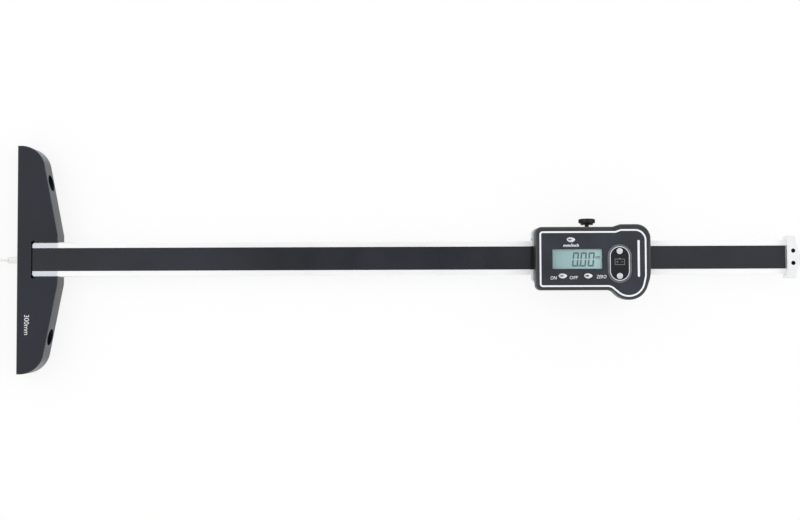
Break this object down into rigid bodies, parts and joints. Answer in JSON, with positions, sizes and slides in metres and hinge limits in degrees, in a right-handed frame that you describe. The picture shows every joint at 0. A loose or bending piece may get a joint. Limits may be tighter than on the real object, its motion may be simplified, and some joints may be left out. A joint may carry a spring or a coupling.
{
  "type": "digital depth gauge",
  "caption": "Depth gauge: T-shaped base with a fixed beam, a sliding digital display that carries a thin measuring rod through the base, and an end stop.",
  "frame": {"origin": "centre of the base's reference face, on the axis of the measuring rod", "axes": "+X along the beam away from the work, +Y across the base towards the lock screw, +Z out of the display"},
  "size_m": [0.479, 0.1324, 0.0219],
  "materials": {
    "anodised_base": "black hard anodised, fine matt",
    "bush_bronze": "turned bearing bronze",
    "ground_steel": "ground stainless steel",
    "board_green": "glass-fibre board",
    "scale_foil_dark": "satin dark cover foil",
    "bright_anodised": "bead blasted, clear anodised",
    "gib_brass": "rolled brass",
    "screw_steel": "zinc plated steel",
    "dark_screw": "blackened steel",
    "rod_steel": "hardened ground steel",
    "moulded_grey": "dark moulded plastic",
    "face_foil_dark": "printed satin foil",
    "clear_lens": "clear acrylic lens",
    "display_glass": "reflective liquid crystal glass",
    "elastomer": "striped contact elastomer",
    "potting": "black potting",
    "cell_steel": "plated cell can",
    "contact_bronze": "plated spring bronze",
    "cover_dark": "moulded dark cover",
    "dome_rubber": "silicone rubber",
    "button_grey": "silver moulded button",
    "print_white": "white printed ink",
    "print_dark": "dark display segments"
  },
  "bodies": {
    "base_and_beam": {"measuring_base": "anodised_base", "rod_guide_bush": "bush_bronze", "beam_screws": "dark_screw", "beam": "ground_steel", "scale_board": "board_green", "scale_foil": "scale_foil_dark", "end_stop": "bright_anodised", "end_stop_screws": "dark_screw"},
    "slider": {"depth_rod": "rod_steel", "probe_tip": "rod_steel", "slider_frame": "bright_anodised", "gib_strip": "gib_brass", "gib_screws": "screw_steel", "rod_carrier": "bright_anodised", "rod_clamp_screws": "dark_screw", "slider_screws": "screw_steel", "display_housing": "moulded_grey", "face_foil": "face_foil_dark", "display_window": "clear_lens", "lcd_panel": "display_glass", "contact_strips": "elastomer", "circuit_board": "board_green", "controller_chip": "potting", "battery": "cell_steel", "battery_contacts": "contact_bronze", "battery_cover": "cover_dark", "battery_cover_screws": "screw_steel", "button_domes": "dome_rubber"},
    "unit_button": {"unit_button": "button_grey"},
    "power_button": {"power_button": "button_grey"},
    "zero_button": {"zero_button": "button_grey"},
    "lock_screw": {"lock_screw": "dark_screw"}
  },
  "joints": [
    {"name": "slider_travel", "type": "slide", "parent": "base_and_beam", "child": "slider", "axis": [1, 0, 0], "range_m": [-0.2743, 0.07935]},
    {"name": "lock_screw_turn", "type": "hinge", "parent": "slider", "child": "lock_screw", "pos_m": [0.3303, 0.019, 0.0053], "axis": [0, 1, 0], "range_deg": [-72, 360]},
    {"name": "unit_button_press", "type": "slide", "parent": "slider", "child": "unit_button", "axis": [0, 0, -1], "range_m": [0, 0.0004], "stiffness_N_per_m": 3000, "springref_m": -0.0001},
    {"name": "power_button_press", "type": "slide", "parent": "slider", "child": "power_button", "axis": [0, 0, -1], "range_m": [0, 0.0004], "stiffness_N_per_m": 3000, "springref_m": -0.0001},
    {"name": "zero_button_press", "type": "slide", "parent": "slider", "child": "zero_button", "axis": [0, 0, -1], "range_m": [0, 0.0004], "stiffness_N_per_m": 3000, "springref_m": -0.0001}
  ]
}
